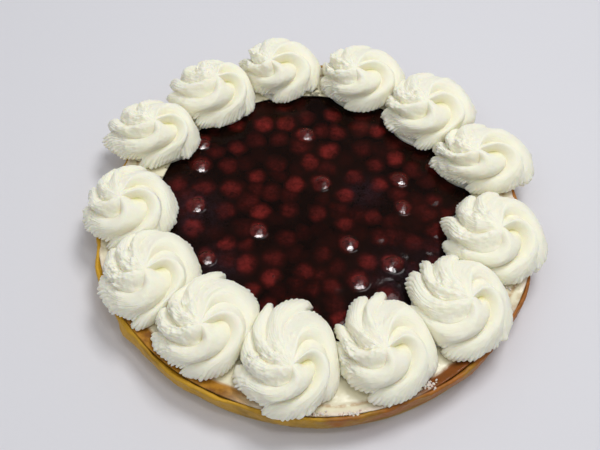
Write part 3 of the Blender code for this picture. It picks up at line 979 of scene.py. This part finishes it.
def swirl_surface(number, settings):
    """Points of one piped swirl, ring by ring from its eye to its foot, and how much painted crease shade
    each one has.
    """
    draw = random.Random(70 + number)
    half_x, half_y, eye_x, eye_y = (size * MM for size in ROSETTES[number][2:])
    start, turn, share, groove, full, step = swirl_lines(draw)
    ring = np.linspace(0, 1, SWIRL_RINGS + 1)[1:, None]
    tilt = ring * math.pi / 2
    spread = np.sin(tilt) ** (2 / ROSETTE_FULLNESS)
    rise = np.maximum(0.0, np.cos(tilt)) ** (2 / ROSETTE_FULLNESS)
    turned = blend(rise_between(ring, TURN_FROM, TURN_TO), ring, STRAIGHT_TURN)
    petal_from = PETAL_FROM - SHORT_GROOVE_LEAD * rise_between(full, *SHORT_GROOVES)
    low = rise_between(ring, petal_from, 1.0)
    angle = start - turn * turned - TIP_LEAN * np.exp(-share / TIP_LEAN_SHARE) * low
    height = ridge_height(share[None, :], ring)
    depth = settings.groove_depth * groove * smooth_step(ring / full) * (1 - height)
    petal = step * share ** PETAL_BOW + TIP_BLUNT * np.exp(-share / TIP_ROUND)
    depth = blend(depth, petal, low)
    flare = LIP_FLARE * rise_between(ring, FLARE_FROM, 1.0) * (1 - 0.5 * share)
    teeth = torn_edge(angle[-1], half_x, draw.uniform(0, 50)) * settings.tooth
    beat, rings_round, turns_round = TOOTH_BEAT
    teeth = teeth * (1 + beat * np.sin(ring * rings_round + turns_round * angle[-1]))
    torn_side = rise_between(np.cos(angle - TORN_SIDE), *TORN_COSINES)
    torn = FLUTED_SHARE * rise_between(ring, *FLUTED_RINGS)
    torn += (1 - torn) * rise_between(ring, *TEETH_RINGS)
    depth = depth - TORN_SHARE * teeth * torn_side * rise_between(ring, *TORN_RINGS) * (1 - 0.5 * low)
    cx, cy = rosette_centre(number)
    inner_side = rise_between(np.cos(angle - math.atan2(-cy, -cx)), *INNER_COSINES)
    reach = (-INNER_REACH * cy - INNER_TUCK * abs(cx)) / math.hypot(cx, cy)
    flare = flare + reach * inner_side * rise_between(ring, *INNER_RINGS)
    out = flare + teeth * torn - depth * np.sin(tilt)
    x = eye_x * (1 - spread) + (half_x * spread + out) * np.cos(angle)
    y = eye_y * (1 - spread) + (half_y * spread + out) * np.sin(angle)
    lip = blend(*LIP_HEIGHT, share ** 1.5)
    z = lip * (1 - rise) + ROSETTE_HEIGHT * rise - depth * np.cos(tilt)
    lump = np.hypot(x - eye_x - LUMP_PLACE[0], y - eye_y - LUMP_PLACE[1]) / LUMP_WIDTH
    z += LUMP_HEIGHT * np.exp(-lump * lump) * rise
    # Painted shade: beige painted into the grooves, more where they are deep, and olive into the deepest
    # creases near the eye
    shade = np.clip((1 - height) * smooth_step(ring / full) * (1 - low) * groove, 0, 1)
    near_eye = np.exp(-(((ring - CREASE_SHADE_RING) / CREASE_SHADE_WIDE) ** 2))
    crease = 0.8 * shade + 1.3 * near_eye * (1 - height) ** 5 * np.clip((groove - 0.8) / 0.4, 0, 1)
    outward = np.stack([
        np.cos(angle) * np.sin(tilt), np.sin(angle) * np.sin(tilt),
        np.broadcast_to(np.cos(tilt), angle.shape)], axis=-1).reshape(-1, 3)
    points = np.stack([x, y, z], axis=-1).reshape(-1, 3)
    starts = np.broadcast_to(start, angle.shape).ravel()
    points = crumble(points, outward, starts, (eye_x, eye_y), number * 10 + 1)
    points[:, 2] = np.maximum(points[:, 2], LIP_HEIGHT[0] / 2)
    return points, crease.ravel(), angle[-1]


def cream_finish(settings):
    look = Finish("Whipped cream", {
        "IOR": 1.36, "Specular IOR Level": 0.3, "Subsurface Weight": 0.5, "Subsurface Scale": 0.005,
        "Subsurface Radius": (1.0, 0.8, 0.45)})
    cloud = look.spread(look.noise(120, 3.0), 0.3, 0.7)
    body = look.mix(cloud, rgba(settings.ivory), rgba(settings.ivory, 0.975))
    # Painted shade: the grooves are painted beige and the deepest creases olive, by each point's painted
    # crease shade
    groove = look.spread(look.value_of("crease"), 0.45, 1.0, 0.0, 0.75)
    body = look.mix(groove, body, rgba(settings.crease))
    deepest_shade = look.spread(look.value_of("crease"), 1.2, 2.0, 0.0, 0.9)
    look.paint(look.mix(deepest_shade, body, DEEP_CREASE_SHADE))
    look.polish(look.spread(look.noise(300, 2.0), 0.3, 0.7, 0.50, 0.66))
    texture = look.maths("ADD", look.noise(1300, 3.0), look.noise(420, 2.0))
    look.emboss(texture, 0.35, 0.0004)
    return look.material


class FLAN_OT_pipe_rosettes(bpy.types.Operator):
    """Pipes the ring of cream rosettes, each with its own swirl and torn petal edges"""
    bl_idname = "flan.pipe_rosettes"
    bl_label = "Pipe rosettes"

    def execute(self, context):
        settings = context.scene.flan_cream
        material = cream_finish(settings)
        for number in range(len(ROSETTES)):
            node = "rosette_%02d" % (number + 1)
            rosette = self.pipe(number, settings, material)
            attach(rosette, "root")
            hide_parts(node)
        return {"FINISHED"}

    def pipe(self, number, settings, material):
        surface, crease, foot_angle = swirl_surface(number, settings)
        half_x, half_y, eye_x, eye_y = (size * MM for size in ROSETTES[number][2:])
        count = len(foot_angle)
        cx, cy = rosette_centre(number)
        lip = surface[-count:]
        inwards = np.stack([-np.cos(foot_angle), -np.sin(foot_angle), np.zeros(count)], axis=1)
        layers = [surface]
        for inward, drop in UNDERSIDE:
            under = lip + inwards * inward - (0, 0, drop)
            under[:, 2] = np.maximum(under[:, 2], 0.0001)
            layers.append(under)
        even = np.arange(count) * TAU / count + foot_angle[0]
        for inward, level in ((SKIRT_IN, 0.0), (SKIRT_IN + 0.0005, -SKIRT_DROP)):
            sx, sy = (half_x - inward) * np.cos(even), (half_y - inward) * np.sin(even)
            inside = smooth_step((SKIRT_REACH - np.hypot(sx + cx, sy + cy)) / SKIRT_FADES)
            layers.append(np.stack([sx, sy, level * inside], axis=1))
        x, y, z = np.vstack(layers).T
        for step in (-1, 1):
            other = rosette_centre(number + step)
            x, y = press(x, y, (other[0] - cx, other[1] - cy))
        points = np.stack([x + cx, y + cy, z + ROSETTE_BASE], axis=1)
        eye = (eye_x + cx, eye_y + cy, surface[:count, 2].mean() + ROSETTE_BASE)
        under = (cx, cy, points[-count:, 2].mean())
        faces = ring_faces(len(points) // count, count)
        crease = np.concatenate([crease, np.zeros(len(points) - len(crease) + 2)])
        name = "cream_rosette_%02d" % (number + 1)
        return new_piece(name, np.vstack([points, [eye, under]]), faces, material, crease=crease)


CAMERA_ELEVATION = math.radians(55.5)
CAMERA_DISTANCE = 0.625
CAMERA_AIM = Vector((-0.0096, 0.0070, 0.0))
CAMERA_ROLL = math.radians(3.0)
CAMERA_LENS = 57.0
SENSOR = 36.0
FLOOR_HALF = 3.0
ROOM_COLOUR = (0.93, 0.95, 1.0, 1.0)
ROOM_STRENGTH = 0.34

# Where each light hangs and its size: all of them face the middle of the flan
KEY_LIGHT = ((0.36, 0.40, 1.56), (0.55, 0.55))
FILL_LIGHT = ((-0.35, -0.40, 1.60), (1.3, 1.3))
TUBE_LIGHTS = (
    ((0.02, -0.30, 1.15), (0.02, 0.16)),
    ((0.22, -0.30, 1.15), (0.02, 0.16)),
)
GLINT_LIGHTS = (
    ((0.46, -0.60, 0.84), (0.26, 0.66)),
    ((0.10, -0.76, 0.84), (0.16, 0.66)),
    ((-0.30, -0.74, 0.92), (0.24, 0.36)),
)


def floor_finish(settings):
    look = Finish("Pale floor", {"Roughness": 0.7, "Specular IOR Level": 0.2})
    patch = look.spread(look.noise(2.2, 2.0), 0.3, 0.7)
    look.paint(look.mix(patch, rgba(settings.floor), rgba(settings.floor, 0.985)))
    look.emboss(look.noise(350, 3.0), 0.08, 0.0006)
    return look.material


def aimed_light(name, power, place, size):
    light = bpy.data.lights.new(name, "AREA")
    light.shape = "RECTANGLE"
    light.size, light.size_y = size
    light.energy = power
    lamp = bpy.data.objects.new(name, light)
    lamp.location = place
    lamp.rotation_euler = (-Vector(place)).to_track_quat("-Z", "Y").to_euler()
    bpy.context.scene.collection.objects.link(lamp)
    return lamp


class FLAN_OT_set_stage(bpy.types.Operator):
    """Adds the floor, the soft lights and the camera"""
    bl_idname = "flan.set_stage"
    bl_label = "Set stage"

    def execute(self, context):
        settings = context.scene.flan_stage
        half = FLOOR_HALF
        corners = [(-half, -half, 0), (half, -half, 0), (half, half, 0), (-half, half, 0)]
        floor = new_piece("floor", corners, [(0, 1, 2, 3)], floor_finish(settings))
        world = bpy.data.worlds.new("Room")
        world.use_nodes = True
        background = world.node_tree.nodes["Background"]
        background.inputs["Color"].default_value = ROOM_COLOUR
        background.inputs["Strength"].default_value = ROOM_STRENGTH
        context.scene.world = world
        aimed_light("Key light", settings.key_power, *KEY_LIGHT)
        aimed_light("Fill light", settings.fill_power, *FILL_LIGHT)
        for tube in TUBE_LIGHTS:
            aimed_light("Tube light", settings.tube_power, *tube)
        glossy = bpy.data.collections.new("Glossy fruit")
        for name in ("cherries", "cherry_jelly"):
            glossy.objects.link(bpy.data.objects[name])
        for lamp in GLINT_LIGHTS:
            glint = aimed_light("Glint light", settings.glint_power, *lamp)
            glint.light_linking.receiver_collection = glossy
            glint.visible_diffuse = False
        context.scene.view_settings.view_transform = "Standard"
        self.add_camera(context)
        return {"FINISHED"}

    def add_camera(self, context):
        back = Vector((0.0, -math.cos(CAMERA_ELEVATION), math.sin(CAMERA_ELEVATION)))
        place = back * CAMERA_DISTANCE
        forward = (CAMERA_AIM - place).normalized()
        right = forward.cross(Vector((0, 0, 1))).normalized()
        right = Matrix.Rotation(-CAMERA_ROLL, 3, forward) @ right
        up = right.cross(forward)
        pose = Matrix((right, up, -forward)).transposed().to_4x4()
        pose.translation = place
        camera = bpy.data.cameras.new("Camera")
        camera.sensor_width = SENSOR
        camera.lens = CAMERA_LENS
        camera.clip_start = 0.01
        holder = bpy.data.objects.new("Camera", camera)
        holder.matrix_world = pose
        context.scene.collection.objects.link(holder)
        context.scene.camera = holder


class FLAN_PT_panel(bpy.types.Panel):
    """Lists the flan's pieces and their settings in the 3D view's sidebar"""
    bl_idname = "FLAN_PT_panel"
    bl_label = "Cherry Flan"
    bl_space_type = "VIEW_3D"
    bl_region_type = "UI"
    bl_category = "Flan"

    def draw(self, context):
        for label, operator in STEPS:
            box = self.layout.box()
            settings = getattr(context.scene, label)
            for name in type(settings).__annotations__:
                box.prop(settings, name)
            box.operator(operator.bl_idname)


GROUPS = {
    "flan_crust": CrustSettings,
    "flan_custard": CustardSettings,
    "flan_cherry": CherrySettings,
    "flan_cream": CreamSettings,
    "flan_stage": StageSettings,
}
STEPS = (
    ("flan_crust", FLAN_OT_bake_crust),
    ("flan_custard", FLAN_OT_pour_custard),
    ("flan_cherry", FLAN_OT_set_cherries),
    ("flan_crust", FLAN_OT_scatter_crumbs),
    ("flan_cream", FLAN_OT_pipe_rosettes),
    ("flan_stage", FLAN_OT_set_stage),
)


def register():
    for label, group in GROUPS.items():
        bpy.utils.register_class(group)
        setattr(bpy.types.Scene, label, bpy.props.PointerProperty(type=group))
    for _, operator in STEPS:
        bpy.utils.register_class(operator)
    bpy.utils.register_class(FLAN_PT_panel)


def unregister():
    bpy.utils.unregister_class(FLAN_PT_panel)
    for _, operator in reversed(STEPS):
        bpy.utils.unregister_class(operator)
    for label, group in GROUPS.items():
        delattr(bpy.types.Scene, label)
        bpy.utils.unregister_class(group)


def main():
    register()
    bpy.ops.flan.bake_crust()
    bpy.ops.flan.pour_custard()
    bpy.ops.flan.set_cherries()
    bpy.ops.flan.scatter_crumbs()
    bpy.ops.flan.pipe_rosettes()
    bpy.ops.flan.set_stage()


if __name__ == "__main__":
    main()
